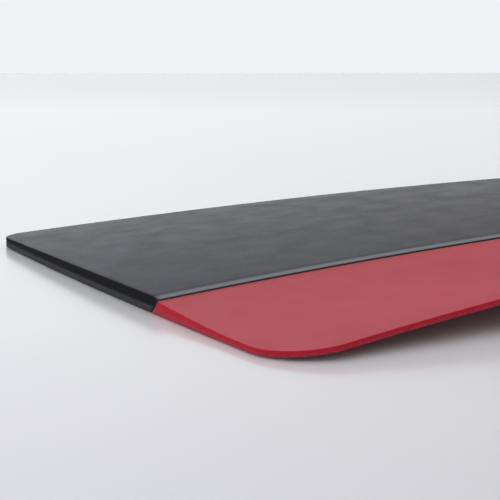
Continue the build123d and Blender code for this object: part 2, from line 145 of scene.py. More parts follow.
def half_outline(radius, from_y):
    """One side of the outline, as if it lay at +Y: from the tail edge at from_y round to the nose."""
    rounding = corner_centre(radius)
    on_tail = angle_to(TAIL_CENTRE, rounding) % (2 * math.pi)
    on_side = angle_to(SIDE_CENTRE, rounding)
    shoulder_angle = math.asin((SHOULDER_X - WAIST_X) / SIDE_RADIUS)
    tail = arc(TAIL_CENTRE, TAIL_RADIUS, math.pi - math.asin(from_y / TAIL_RADIUS), on_tail, 1.5)
    corner = arc(rounding, radius, on_tail, on_side + math.pi, 0.5)
    side = arc(SIDE_CENTRE, SIDE_RADIUS, on_side, shoulder_angle - math.pi / 2, 2.0)
    x, y = side[-1]
    inward = (math.sin(shoulder_angle), -math.cos(shoulder_angle))
    chord = (NOSE_X - x, NOSE_HALF - y)
    bend = (chord[0] ** 2 + chord[1] ** 2) / (2 * (chord[0] * inward[0] + chord[1] * inward[1]))
    centre = (x + bend * inward[0], y + bend * inward[1])
    nose = arc(centre, bend, angle_to(centre, (x, y)), angle_to(centre, (NOSE_X, NOSE_HALF)), 1.5)
    return tail[:-1] + corner[:-1] + side[:-1] + nose


def line(start, end, step=2.0):
    """Points along a straight line, without its end point."""
    count = max(1, int(math.dist(start, end) / step))
    (x, y), (end_x, end_y) = start, end
    return [(x + (end_x - x) * i / count, y + (end_y - y) * i / count) for i in range(count)]


def black_zone(seam_corner):
    """Closed outline of the black zone, anticlockwise, its corner between tail and seam rounded."""
    tail_x = tail_edge_x(SEAM_Y)
    foot = arc((tail_x + seam_corner, SEAM_Y + seam_corner), seam_corner, math.pi, 1.5 * math.pi, 0.12)
    seam = line(foot[-1], (NOSE_X, SEAM_Y)) + line((NOSE_X, SEAM_Y), (NOSE_X, NOSE_HALF))
    upper = list(reversed(half_outline(BLACK_CORNER, 0.0)))
    tail = line((tail_edge_x(0), 0), (tail_x, SEAM_Y + seam_corner))
    return foot[:-1] + seam + upper[:-1] + tail


def red_zone(seam_corner):
    """Closed outline of the red zone, anticlockwise, with a rounded nose where tail meets seam."""
    tail_x = tail_edge_x(SEAM_Y)
    head = arc((tail_x + seam_corner, SEAM_Y - seam_corner), seam_corner, 0.5 * math.pi, math.pi, 0.25)
    edge = [(x, -y) for x, y in half_outline(RED_CORNER, -SEAM_Y + seam_corner)]
    return head[:-1] + edge[:-1] + line(edge[-1], head[0])


def whole_outline():
    """Closed outline of both zones together, anticlockwise."""
    upper = list(reversed(half_outline(BLACK_CORNER, 0.0)))
    lower = [(x, -y) for x, y in half_outline(RED_CORNER, 0.0)]
    return lower[:-1] + line(lower[-1], upper[0]) + upper[:-1]


def behind(points, end_x):
    """The part of a closed outline behind an X position, closed by a straight line across it."""
    kept = []
    for i, (x, y) in enumerate(points):
        last_x, last_y = points[i - 1]
        if (x < end_x) != (last_x < end_x):
            share = (end_x - last_x) / (x - last_x)
            kept.append((end_x, last_y + share * (y - last_y)))
        if x < end_x:
            kept.append((x, y))
    return kept


def ahead_of(points, start_x):
    """The part of a closed outline ahead of an X position."""
    return [(-x, -y) for x, y in behind([(-x, -y) for x, y in points], -start_x)]


def flat_size(points):
    """Width, length and area of a flat piece with this outline, in metres and square metres."""
    xs, ys = [x for x, y in points], [y for x, y in points]
    doubled = sum(xs[i - 1] * ys[i] - xs[i] * ys[i - 1] for i in range(len(points)))
    return (max(ys) - min(ys)) * MM, (max(xs) - min(xs)) * MM, abs(doubled) / 2 * MM**2


def inset_ring(points, inset):
    """Moves a closed anticlockwise outline inwards, mitred at its corners."""
    moved = []
    for i, (x, y) in enumerate(points):
        before, after = Vector(points[i - 1]), Vector(points[(i + 1) % len(points)])
        here = Vector((x, y))
        first, second = (here - before).normalized(), (after - here).normalized()
        normal_a, normal_b = Vector((-first.y, first.x)), Vector((-second.y, second.x))
        bisector = (normal_a + normal_b).normalized()
        moved.append(here + bisector * inset / max(0.5, bisector.dot(normal_a)))
    return moved


# ---------------------------------------------------------------- mesh helpers


def new_object(name, bm, material, sharp=35.0):
    """Makes an object from a bmesh whose lengths are in millimetres, smooth except at sharp edges."""
    bmesh.ops.recalc_face_normals(bm, faces=bm.faces[:])
    for face in bm.faces:
        face.smooth = True
    for edge in bm.edges:
        edge.smooth = edge.calc_face_angle(0.0) < math.radians(sharp)
    bmesh.ops.scale(bm, vec=(MM, MM, MM), verts=bm.verts[:])
    mesh = bpy.data.meshes.new(name)
    bm.to_mesh(mesh)
    bm.free()
    obj = bpy.data.objects.new(name, mesh)
    bpy.context.scene.collection.objects.link(obj)
    mesh.materials.append(material)
    return obj


def cut_grid(bm, x_step, y_step, keep=lambda face: True):
    """Cuts faces along evenly spaced X and Y planes, so that they can bend."""
    for axis, step in ((0, x_step), (1, y_step)):
        values = [v.co[axis] for v in bm.verts]
        position = math.ceil(min(values) / step) * step
        normal = [0.0, 0.0, 0.0]
        normal[axis] = 1.0
        while position < max(values):
            geom = set()
            for face in bm.faces:
                reach = [v.co[axis] for v in face.verts]
                if min(reach) < position < max(reach) and keep(face):
                    geom.update((face, *face.verts, *face.edges))
            plane = [position * n for n in normal]
            bmesh.ops.bisect_plane(bm, geom=list(geom), dist=1e-4, plane_co=plane, plane_no=normal)
            position += step


def lip_highlight_share(x, y):
    """Share of the painted highlight along the seam: 1 on the strip, fading out into the zones and at the
    tail's cut face.
    """
    beside = min(1.0, max(0.0, 1.6 * (1 - abs(y - SEAM_Y) / LIP_WIDTH)))
    return beside * min(1.0, max(0.0, (x - tail_edge_x(y)) / 0.4))


def seam_shift(y, height):
    """How far the slanting seam moves a point sideways, none at the top and none away from the seam."""
    beside = max(0.0, 1 - abs(y - SEAM_Y) / SLANT_FADE)
    return SEAM_SLANT * beside * max(0.0, 1 - height / RED_COAT_TOP[0])


def layer(name, outline, profile, base, thickness, materials, x_step=3.0, y_step=6.0, under=None):
    """One layer of the sheet. The profile is (inset, share of thickness) from the bottom up.

    base and thickness are functions of x and y. under, if given, is a row spacing and a function
    that lifts points of the bottom face, away from its edge. The second material, if any, is for the
    cut edge. The vertex attribute lip marks the strip along the seam.
    """
    bm = bmesh.new()
    rings = []
    for inset, share in profile:
        rings.append([bm.verts.new((x, y, share)) for x, y in inset_ring(outline, inset)])
    for low, high, (inset, share) in zip(rings, rings[1:], profile):
        for i in range(len(low)):
            j = (i + 1) % len(low)
            face = bm.faces.new((low[i], low[j], high[j], high[i]))
            face.material_index = 1 if inset < 0.1 and share < 0.9 else 0
    bm.faces.new(list(reversed(rings[0])))
    bm.faces.new(rings[-1])
    cut_grid(bm, x_step, y_step)
    for aside in (0.4 * LIP_WIDTH, LIP_WIDTH, SLANT_FADE):
        for y in (SEAM_Y - aside, SEAM_Y + aside):
            geom = bm.verts[:] + bm.edges[:] + bm.faces[:]
            bmesh.ops.bisect_plane(bm, geom=geom, dist=1e-4, plane_co=(0, y, 0), plane_no=(0, 1, 0))
    if under:
        cut_grid(bm, NO_CUTS, under[0], keep=lambda face: max(v.co.z for v in face.verts) < 1e-3)
    rim = kdtree.KDTree(len(outline))
    for i, (x, y) in enumerate(outline):
        rim.insert((x, y, 0), i)
    rim.balance()
    # The lip attribute marks the strip where the coatings and the black cut wall paint a highlight along
    # the seam
    lip_highlight_layer = bm.verts.layers.float.new("lip")
    for v in bm.verts:
        x, y, share = v.co
        from_edge = rim.find((x, y, 0))[2]
        v[lip_highlight_layer] = lip_highlight_share(x, y)
        lift = under[1](x, y) if under and share < 1e-3 and from_edge > ROW_MARGIN else 0.0
        height = base(x, y) + share * thickness(x, y)
        v.co.y += seam_shift(y, height)
        v.co.z = under_z(x) + ripple(x, y) + height + lift
    obj = new_object(name, bm, materials[0])
    for material in materials[1:]:
        obj.data.materials.append(material)
    return obj


def ring_wall(bm, rings, closed=True):
    """Joins rings of vertices into a wall, and closes its two ends."""
    for low, high in zip(rings, rings[1:]):
        for i in range(len(low)):
            j = (i + 1) % len(low)
            bm.faces.new((low[i], low[j], high[j], high[i]))
    if closed:
        bm.faces.new(list(reversed(rings[0])))
        bm.faces.new(rings[-1])
    else:
        for i in range(len(rings[0])):
            j = (i + 1) % len(rings[0])
            bm.faces.new((rings[-1][i], rings[-1][j], rings[0][j], rings[0][i]))


def lathe(bm, profile, place, turn=None, segments=48, ring=False):
    """Adds a body of revolution from (radius, height) points, up its axis at a place, turned if asked.

    A ring's profile is closed on itself. Otherwise its two ends are closed by flat faces.
    """
    rings = []
    for radius, height in profile:
        points = []
        for k in range(segments):
            angle = 2 * math.pi * k / segments
            point = Vector((radius * math.cos(angle), radius * math.sin(angle), height))
            points.append(bm.verts.new(Vector(place) + (turn @ point if turn else point)))
        rings.append(points)
    ring_wall(bm, rings, closed=not ring)


def stitch(bm, place, heading, length, radius):
    """Adds one stitch: a short thread that rises out of the cloth and goes back into it."""
    heading = Vector(heading).normalized()
    aside = Vector((-heading.y, heading.x, 0.0))
    steps, sides = 8, 8
    rings = []
    for i in range(steps + 1):
        share = i / steps
        rise = radius * (1.9 * math.sin(math.pi * share) - 1.2)
        centre = Vector(place) + heading * length * (share - 0.5) + Vector((0, 0, rise))
        ring = []
        for k in range(sides):
            angle = 2 * math.pi * k / sides
            outward = aside * math.cos(angle) + Vector((0, 0, math.sin(angle)))
            ring.append(bm.verts.new(centre + outward * radius))
        rings.append(ring)
    ring_wall(bm, rings)


def stand_in(obj, body, node):
    """Makes an object stand for a CAD node of a body: attaches it to the body and hides the node."""
    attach(obj, body)
    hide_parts(node)
    return obj


def node_mesh(node):
    """A CAD node's mesh as a bmesh in millimetres, with the triangles of its flat faces joined."""
    bm = bmesh.new()
    bm.from_mesh(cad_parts[node].data)
    bmesh.ops.scale(bm, vec=(1 / MM, 1 / MM, 1 / MM), verts=bm.verts[:])
    bmesh.ops.remove_doubles(bm, verts=bm.verts[:], dist=1e-3)
    bmesh.ops.dissolve_limit(bm, angle_limit=math.radians(0.8), verts=bm.verts[:], edges=bm.edges[:])
    return bm


def soften(bm, width, angle=28.0):
    """Rounds every edge sharper than an angle."""
    hard = [e for e in bm.edges if e.is_manifold and e.calc_face_angle(0.0) > math.radians(angle)]
    bmesh.ops.bevel(
        bm,
        geom=hard,
        offset=width,
        offset_type="OFFSET",
        segments=3,
        profile=0.5,
        affect="EDGES",
        clamp_overlap=True,
    )


# ---------------------------------------------------------------- materials


class Shader:
    """A Principled material and short ways to add procedural detail to it."""

    def __init__(self, name, colour, roughness, metallic=0.0):
        self.material = bpy.data.materials.new(name)
        self.material.use_nodes = True
        self.tree = self.material.node_tree
        self.bsdf = self.tree.nodes["Principled BSDF"]
        self.bsdf.inputs["Base Color"].default_value = (*colour, 1)
        self.bsdf.inputs["Roughness"].default_value = roughness
        self.bsdf.inputs["Metallic"].default_value = metallic
        self.coords = self.node("ShaderNodeTexCoord").outputs["Object"]
        self.height = None

    def node(self, kind, **settings):
        """Adds a shader node with some of its settings."""
        made = self.tree.nodes.new(kind)
        for key, value in settings.items():
            setattr(made, key, value)
        return made

    def link(self, output, socket):
        self.tree.links.new(output, socket)

    def stretched(self, scale):
        """Object coordinates in which a texture is drawn out along the axes of small scale."""
        mapping = self.node("ShaderNodeMapping")
        mapping.inputs["Scale"].default_value = scale
        self.link(self.coords, mapping.inputs["Vector"])
        return mapping.outputs["Vector"]

    def noise(self, scale, detail=3.0, vector=None, roughness=0.5):
        made = self.node("ShaderNodeTexNoise")
        made.inputs["Scale"].default_value = scale
        made.inputs["Detail"].default_value = detail
        made.inputs["Roughness"].default_value = roughness
        self.link(vector or self.coords, made.inputs["Vector"])
        return made.outputs["Fac"]

    def voronoi(self, scale, vector=None, feature="F1"):
        made = self.node("ShaderNodeTexVoronoi", feature=feature)
        made.inputs["Scale"].default_value = scale
        self.link(vector or self.coords, made.inputs["Vector"])
        return made.outputs["Distance"]

    def wave(self, scale, direction, distortion=0.0, profile="SIN", vector=None):
        made = self.node("ShaderNodeTexWave", bands_direction=direction, wave_profile=profile)
        made.inputs["Scale"].default_value = scale
        made.inputs["Distortion"].default_value = distortion
        self.link(vector or self.coords, made.inputs["Vector"])
        return made.outputs["Fac"]

    def attribute(self, name):
        """A vertex attribute of the mesh."""
        return self.node("ShaderNodeAttribute", attribute_name=name).outputs["Fac"]

    def span(self, value, from_low, from_high, to_low, to_high):
        """Maps one range of values onto another."""
        made = self.node("ShaderNodeMapRange")
        made.inputs["From Min"].default_value = from_low
        made.inputs["From Max"].default_value = from_high
        made.inputs["To Min"].default_value = to_low
        made.inputs["To Max"].default_value = to_high
        self.link(value, made.inputs["Value"])
        return made.outputs["Result"]

    def product(self, first, second):
        """Multiplies two values."""
        made = self.node("ShaderNodeMath", operation="MULTIPLY")
        self.link(first, made.inputs[0])
        self.link(second, made.inputs[1])
        return made.outputs["Value"]

    def mix(self, factor, first, second):
        """Blends two colours, each a tuple or the output of a node."""
        made = self.node("ShaderNodeMix", data_type="RGBA")
        self.link(factor, made.inputs["Factor"])
        for value, socket in ((first, made.inputs[6]), (second, made.inputs[7])):
            if isinstance(value, tuple):
                socket.default_value = (*value, 1)
            else:
                self.link(value, socket)
        return made.outputs[2]

    def bump(self, value, strength, distance):
        """Adds a bump in millimetres on top of those already there."""
        made = self.node("ShaderNodeBump")
        made.inputs["Strength"].default_value = strength
        made.inputs["Distance"].default_value = distance * MM
        self.link(value, made.inputs["Height"])
        if self.height:
            self.link(self.height, made.inputs["Normal"])
        self.height = made.outputs["Normal"]
        self.link(self.height, self.bsdf.inputs["Normal"])

    def colour(self, output):
        self.link(output, self.bsdf.inputs["Base Color"])

    def roughness(self, output):
        self.link(output, self.bsdf.inputs["Roughness"])


def coating(name, colour, lip, roughness, specular):
    """Satin adhesive coating with mottling, fine grain, a few specks, and a painted highlight colour on the
    lip along the seam.
    """
    s = Shader(name, colour, roughness)
    cloudy = s.span(s.noise(60, 3), 0.3, 0.7, 0.0, 1.0)
    body = s.mix(cloudy, tuple(c * 0.94 for c in colour), tuple(c * 1.04 for c in colour))
    grain = s.span(s.noise(4200, 2), 0.35, 0.75, 0.0, 0.22)
    body = s.mix(grain, body, tuple(min(1.0, c * 1.35 + 0.01) for c in colour))
    speck = s.span(s.voronoi(430), 0.0, 0.06, 0.5, 0.0)
    body = s.mix(speck, body, tuple(min(1.0, c * 1.2 + 0.12) for c in colour))
    # Painted highlight: the lip strip along the seam takes the lip colour
    s.colour(s.mix(s.attribute("lip"), body, lip))
    s.roughness(s.span(s.noise(180, 3), 0.3, 0.7, roughness - 0.03, roughness + 0.04))
    s.bsdf.inputs["Specular IOR Level"].default_value = specular
    s.bump(s.noise(700, 3), 0.12, 0.02)
    s.bump(s.noise(6500, 2), 0.16, 0.010)
    return s.material


def cut_edge(name, colour, lip):
    """Knife-cut edge of a coating: matt, streaked along the cut."""
    s = Shader(name, colour, 0.75)
    streak = s.noise(1, 4, s.stretched((600, 600, 9000)), 0.6)
    share = s.span(streak, 0.3, 0.7, 0.0, 1.0)
    body = s.mix(share, tuple(c * 0.8 for c in colour), tuple(c * 1.2 for c in colour))
    # Painted highlight: on the lip strip the cut wall takes the pale lip colour
    s.colour(s.mix(s.attribute("lip"), body, lip))
    s.bsdf.inputs["Specular IOR Level"].default_value = 0.08
    s.bump(streak, 0.3, 0.02)
    return s.material


def pile(name, colour, tip):
    """Short nap that leans towards the tail, with rows from the weaving; its colour is partly random fibre
    tone and partly painted shade, dark where the nap bump is low and lighter on the raised fibres.
    """
    s = Shader(name, colour, 0.88)
    along = s.stretched((900, 5200, 5200))
    fibre = s.noise(1, 5, along, 0.65)
    patchy = s.noise(45, 3)
    # Partly fibre tone, partly painted shade: the colour follows the fibre bump, dark where it is low
    tone_with_painted_shade = s.mix(s.span(fibre, 0.3, 0.72, 0.0, 1.0), tuple(c * 0.45 for c in colour), tip)
    s.colour(s.mix(s.span(patchy, 0.35, 0.65, 0.0, 0.45), tone_with_painted_shade, colour))
    s.bsdf.inputs["Sheen Weight"].default_value = 0.35
    s.bsdf.inputs["Sheen Roughness"].default_value = 0.45
    s.bsdf.inputs["Sheen Tint"].default_value = (*tip, 1)
    s.bsdf.inputs["Specular IOR Level"].default_value = 0.2
    s.bump(fibre, 0.7, 0.22)
    s.bump(s.wave(90, "Y", 1.2), 0.25, 0.1)
    return s.material


def moulded(name, colour, roughness=0.5, grain=0.02):
    """Fine spark-eroded texture of a moulded nylon part."""
    s = Shader(name, colour, roughness)
    cloudy = s.span(s.noise(110, 4), 0.35, 0.65, 0.0, 1.0)
    s.colour(s.mix(cloudy, tuple(c * 0.8 for c in colour), colour))
    s.roughness(s.span(s.noise(380, 3), 0.3, 0.7, roughness - 0.08, roughness + 0.1))
    s.bump(s.voronoi(2600), 0.4, grain)
    s.bump(s.noise(900, 3), 0.2, 0.02)
    return s.material


def metal(name, colour, roughness, scale, grain=0.008):
    """Metal with a drawn or brushed grain, stretched along the axis with the smallest scale."""
    s = Shader(name, colour, roughness, metallic=1.0)
    streak = s.noise(1, 4, s.stretched(scale), 0.6)
    s.roughness(s.span(streak, 0.3, 0.7, roughness - 0.08, roughness + 0.12))
    cloudy = s.span(s.noise(160, 3), 0.3, 0.7, 0.0, 1.0)
    s.colour(s.mix(cloudy, tuple(c * 0.82 for c in colour), colour))
    s.bump(streak, 0.25, grain)
    return s.material


def rubber(name, colour):
    """Matt soft rubber with a fine skin."""
    s = Shader(name, colour, 0.62)
    cloudy = s.span(s.noise(130, 4), 0.35, 0.65, 0.0, 1.0)
    s.colour(s.mix(cloudy, tuple(c * 0.75 for c in colour), colour))
    s.roughness(s.span(s.noise(500, 3), 0.3, 0.7, 0.52, 0.72))
    s.bump(s.noise(2400, 3), 0.35, 0.02)
    return s.material


def woven(name, colour, light, thread, distance):
    """Plain weave with the given thread spacing in millimetres, painted darker in the hollows between
    threads and lighter on their crests.
    """
    s = Shader(name, colour, 0.8)
    scale = 1 / (thread * MM) / 20 * math.pi
    warp = s.wave(scale, "X", 0.4)
    weft = s.wave(scale, "Y", 0.4)
    cloth = s.product(warp, weft)
    fuzz = s.noise(3800, 3)
    # Painted shade and highlight: the colour follows the weave bump, dark in its hollows and light on its
    # crests
    tone_with_painted_shade = s.mix(s.span(cloth, 0.0, 1.0, 0.0, 1.0), tuple(c * 0.5 for c in colour), light)
    s.colour(s.mix(s.span(fuzz, 0.35, 0.7, 0.0, 0.5), tone_with_painted_shade, colour))
    s.bsdf.inputs["Sheen Weight"].default_value = 0.15
    s.bsdf.inputs["Sheen Roughness"].default_value = 0.5
    s.bump(cloth, 0.6, distance)
    s.bump(fuzz, 0.3, 0.03)
    return s.material


def twisted_thread(name, colour, light):
    """Sewing thread with its twisted plies, painted darker in the grooves between them and lighter on the
    plies.
    """
    s = Shader(name, colour, 0.6)
    ply = s.wave(900, "DIAGONAL", 0.6)
    # Painted shade and highlight: the colour follows the ply bump, dark in its grooves
    s.colour(s.mix(ply, tuple(c * 0.55 for c in colour), light))
    s.bsdf.inputs["Sheen Weight"].default_value = 0.2
    s.bump(ply, 0.6, 0.05)
    return s.material


def film(name, colour, lip):
    """Thin film, tinted by the red dye along the red zone."""
    s = Shader(name, colour, 0.7)
    across = s.node("ShaderNodeSeparateXYZ")
    s.link(s.coords, across.inputs[0])
    in_red = s.span(across.outputs["Y"], (SEAM_Y + 0.8) * MM, (SEAM_Y + 1.1) * MM, 1.0, 0.0)
    s.colour(s.mix(in_red, colour, lip))
    s.roughness(s.span(s.noise(800, 3), 0.3, 0.7, 0.62, 0.8))
    s.bsdf.inputs["Specular IOR Level"].default_value = 0.15
    s.bump(s.noise(1500, 3), 0.3, 0.03)
    return s.material


# Painted highlight along the seam: pale on the black coat and its cut wall, pinkish on the red coat
PAINTED_LIP_HIGHLIGHT = (0.180, 0.194, 0.200)
BLACK_COAT = coating("black_adhesive", (0.019, 0.0195, 0.027), PAINTED_LIP_HIGHLIGHT, 0.26, 0.02)
RED_COAT = coating("red_adhesive", (0.420, 0.045, 0.060), (0.400, 0.060, 0.075), 0.60, 0.25)
BLACK_CUT = cut_edge("black_cut_edge", (0.0045, 0.0045, 0.0065), (0.110, 0.125, 0.125))
RED_CUT = cut_edge("red_cut_edge", (0.480, 0.018, 0.035), (0.480, 0.018, 0.035))
BLACK_PILE = pile("black_plush", (0.022, 0.023, 0.028), (0.065, 0.067, 0.080))
RED_PILE = pile("red_plush", (0.400, 0.024, 0.044), (0.560, 0.062, 0.095))
FILM = film("membrane", (0.004, 0.004, 0.006), (0.440, 0.016, 0.030))
PATCH = woven("patch_fabric", (0.045, 0.045, 0.052), (0.110, 0.110, 0.125), 0.55, 0.10)
THREAD = twisted_thread("thread", (0.50, 0.07, 0.09), (0.75, 0.16, 0.18))
NYLON = moulded("plate_nylon", (0.028, 0.028, 0.033))
LEVER_NYLON = moulded("lever_nylon", (0.36, 0.035, 0.05), 0.42)
ALUMINIUM = metal("rivet_aluminium", (0.78, 0.79, 0.81), 0.32, (1800, 1800, 200))
STEEL = metal("pin_steel", (0.60, 0.60, 0.62), 0.28, (300, 2600, 2600))
WIRE = metal("bail_steel", (0.66, 0.66, 0.68), 0.22, (300, 300, 2600))
ANODISED = metal("frame_aluminium", (0.085, 0.086, 0.095), 0.40, (2200, 2200, 2200))
ACETAL = moulded("acetal", (0.78, 0.77, 0.72), 0.35, 0.005)
PAD_RUBBER = rubber("soft_pad", (0.028, 0.028, 0.032))
WEBBING = woven("strap_webbing", (0.042, 0.042, 0.048), (0.120, 0.120, 0.135), 0.9, 0.16)

# ---------------------------------------------------------------- sheet

BLACK_OUT = black_zone(0.5)
RED_OUT = red_zone(0.5)
BLACK_COATED = behind(BLACK_OUT, GLUE_END_X)
RED_COATED = behind(RED_OUT, GLUE_END_X)
PATCH_OUT = ahead_of(whole_outline(), GLUE_END_X + 0.3)

# Cut edges of the layers, as (inset, share of thickness) from the bottom up
COAT_EDGE = [(0.25, 0.0), (0.02, 0.05), (0.0, 0.2), (0.0, 0.86), (0.03, 0.93), (0.09, 0.98), (0.2, 1.0)]
PLUSH_EDGE = [(0.06, 0.0), (0.02, 0.06), (0.0, 0.2), (0.0, 0.8), (0.04, 0.94), (0.16, 1.0)]
FILM_EDGE = [(0.5, 0.0), (0.04, 0.0), (0.04, 1.0), (0.5, 1.0)]
PATCH_EDGE = [(0.4, 0.0), (0.1, 0.12), (0.0, 0.4), (0.03, 0.7), (0.15, 0.9), (0.4, 0.98), (0.8, 1.0)]
ROW, ROW_HEIGHT = 0.9, 0.13  # spacing and height of the rows of nap
ROW_MARGIN = 1.5  # the rows stop this far from the edge
FILM_LAP = 0.04
PUCKER, PUCKER_RATE = 0.07, 1.57
CROWN = 0.24


def nap_row(x, y):
    """Raises every second row of the nap a little, so that the underside isn't flat."""
    return ROW_HEIGHT if round(y / ROW) % 2 else 0.0


def black_coat(x, y):
    """Thickness of the black coating: crowned, with a bevelled lip along the seam."""
    across = min(1.0, (y - SEAM_Y) / (TAIL_HALF - SEAM_Y))
    bevel = SEAM_STEP * max(0.0, 1 - (y - SEAM_Y) / LIP_WIDTH) ** 1.5
    wedge = BLACK_GLUE_AT_SEAM + (BLACK_GLUE_AT_EDGE - BLACK_GLUE_AT_SEAM) * across
    return wedge + CROWN * math.sin(math.pi * across) - bevel


def red_coat(x, y):
    """Thickness of the red coating, sunk a little towards the seam."""
    sunk = SEAM_STEP * max(0.0, 1 - (SEAM_Y - y) / (SEAM_Y - KNEE_Y))
    return red_height(RED_COAT_TOP, y) - red_height(RED_FILM_TOP, y) - sunk


def patch_base(x, y):
    """Underside of the nose patch, which lies on the film."""
    return red_height(RED_FILM_TOP, y) if y < SEAM_Y else FILM_TOP


def patch_thickness(x, y):
    """The patch puckers a little between its stitches and lies flat under the plates."""
    top = red_height(RED_PATCH_TOP, y) if y < SEAM_Y else FILM_TOP + PATCH_THICK
    under_plates = abs(y) < PLATE_REAR_HALF + 2 and x > PLATE_REAR_X - 2
    wave = math.sin(x * PUCKER_RATE) * math.sin(y * PUCKER_RATE)
    return top - patch_base(x, y) - (0.0 if under_plates else PUCKER) * (1 + wave)


def film_base(x, y):
    """Underside of the film, pressed a little into the plush."""
    return (red_height(RED_PLUSH_TOP, y) if y < SEAM_Y else PLUSH) - FILM_LAP


def film_thickness(x, y):
    """Thickness of the film, pressed a little into the coatings too."""
    return (red_height(RED_FILM_TOP, y) if y < SEAM_Y else FILM_TOP) + FILM_LAP - film_base(x, y)


def flat(level):
    """A base or thickness that is the same everywhere."""
    return lambda x, y: level


def red_plush_base(x, y):
    """Underside of the red plush."""
    return red_height(RED_UNDERSIDE, y)


def red_plush_thickness(x, y):
    """Thickness of the red plush, thinnest at the outer edge."""
    return red_height(RED_PLUSH_TOP, y) - red_plush_base(x, y)


def red_coat_base(x, y):
    """Underside of the red coating."""
    return red_height(RED_FILM_TOP, y)


rows = (ROW, nap_row)
black_looks, red_looks = [BLACK_COAT, BLACK_CUT], [RED_COAT, RED_CUT]
plush_black = layer(
    "plush_black_strip", BLACK_OUT, PLUSH_EDGE, flat(0), flat(PLUSH), [BLACK_PILE], under=rows
)
plush_red = layer(
    "plush_red_strip", RED_OUT, PLUSH_EDGE, red_plush_base, red_plush_thickness, [RED_PILE], under=rows
)
film_piece = layer("membrane_film", whole_outline(), FILM_EDGE, film_base, film_thickness, [FILM], y_step=4)
coat_black = layer("adhesive_black_coat", BLACK_COATED, COAT_EDGE, flat(FILM_TOP), black_coat, black_looks)
coat_red = layer("adhesive_red_coat", RED_COATED, COAT_EDGE, red_coat_base, red_coat, red_looks, y_step=3)
patch = layer("nose_patch_cloth", PATCH_OUT, PATCH_EDGE, patch_base, patch_thickness, [PATCH], 1.0, 1.0)
for piece, node, slot in (
    (plush_black, "plush_black", "black_plush"),
    (plush_red, "plush_red", "red_plush"),
    (film_piece, "membrane", "membrane"),
    (coat_black, "adhesive_black", "black_adhesive"),
    (coat_red, "adhesive_red", "red_adhesive"),
    (patch, "nose_patch", "patch_fabric"),
):
    stand_in(piece, "sheet", node)

# ---------------------------------------------------------------- stitches

THREAD_RADIUS = 0.27


def cad_stitches(node):
    """Middle, direction and length of each stitch of a CAD node, read from its separate solids."""
    bm = node_mesh(node)
    unseen = set(bm.verts)
    found = []
    while unseen:
        group, to_visit = set(), [unseen.pop()]
        while to_visit:
            v = to_visit.pop()
            group.add(v)
            near = [e.other_vert(v) for e in v.link_edges]
            to_visit += [other for other in near if other in unseen]
            unseen.difference_update(near)
        points = [v.co.copy() for v in group]
        start = max(points, key=lambda p: (p - points[0]).length)
        end = max(points, key=lambda p: (p - start).length)
        middle = (start + end) / 2
        middle.z = min(p.z for p in points)
        along = Vector((end.x - start.x, end.y - start.y, 0))
        found.append((middle, along))
    bm.free()
    return sorted(found, key=lambda item: tuple(item[0]))


def sewn(name, node, body):
    """Arched stitches in place of the CAD stitches of a node."""
    bm = bmesh.new()
    for place, along in cad_stitches(node):
        stitch(bm, place + Vector((0, 0, 0.05)), along, along.length, THREAD_RADIUS)
    return stand_in(new_object(name, bm, THREAD), body, node)


patch_thread = sewn("patch_seam_thread", "patch_stitching", "sheet")
sewn("bartack_thread", "strap_bartack", "strap")

# ---------------------------------------------------------------- tip plates, rivets and swivel

for node, body, material, slot, width in (
    ("tip_plate_top", "sheet", NYLON, "plate_nylon", 0.35),
    ("tip_plate_bottom", "sheet", NYLON, "plate_nylon", 0.35),
    ("rivet_washers", "sheet", ALUMINIUM, "rivet_aluminium", 0.12),
    ("buckle_frame", "buckle", ANODISED, "frame_aluminium", 0.35),
    ("cam_pin", "buckle", STEEL, "pin_steel", 0.25),
):
    bm = node_mesh(node)
    soften(bm, width)
    stand_in(new_object(node + "_softened", bm, material, 28.0), body, node)

RIVET_PLACES = [(117.0, 17.0), (117.0, -17.0), (146.0, 12.0), (146.0, -12.0)]
RIVET_PROFILE = [(1.1, 0.9), (1.3, 0.8), (2.2, 0.8), (3.0, 0.86), (3.4, 1.08), (3.3, 1.3)]
RIVET_PROFILE += [(2.6, 1.4), (2.0, 1.4), (2.0, 5.4), (3.75, 7.0), (3.95, 7.14), (3.8, 7.2), (2.9, 7.17)]
RIVET_PROFILE += [(1.5, 7.0), (1.3, 6.85), (1.2, 4.5)]
bm = bmesh.new()
for x, y in RIVET_PLACES:
    lathe(bm, RIVET_PROFILE, (x, y, 0))
stand_in(new_object("tubular_rivets", bm, ALUMINIUM), "sheet", "plate_rivets")

SWIVEL_X = 126.0
PIN_PROFILE = [(1.2, 0.42), (1.5, 0.3), (3.9, 0.3), (4.15, 0.45), (4.2, 0.7), (4.1, 1.0), (3.0, 1.0)]
PIN_PROFILE += [(3.0, 8.85), (4.35, 8.85), (4.5, 9.0), (4.5, 9.5), (4.3, 9.74), (3.7, 9.85), (2.2, 9.85)]
PIN_PROFILE += [(1.9, 9.7), (1.8, 9.5)]
bm = bmesh.new()
lathe(bm, PIN_PROFILE, (SWIVEL_X, 0, 0))
stand_in(new_object("turned_swivel_pin", bm, STEEL), "sheet", "swivel_pin")

WASHER_PROFILE = [(3.05, 7.3), (3.15, 7.2), (8.85, 7.2), (9.0, 7.32), (9.0, 7.68), (8.85, 7.8), (3.15, 7.8)]
bm = bmesh.new()
lathe(bm, WASHER_PROFILE + [(3.05, 7.7)], (SWIVEL_X, 0, 0), ring=True)
stand_in(new_object("acetal_washer", bm, ACETAL), "sheet", "swivel_washer")

# ---------------------------------------------------------------- cam lever and its pad

CAM_X, CAM_Z = 141.0, 17.35
GRIP_BACK, GRIP_HALF = 34.2, 6.5  # raised bar across the tip of the thumb arm


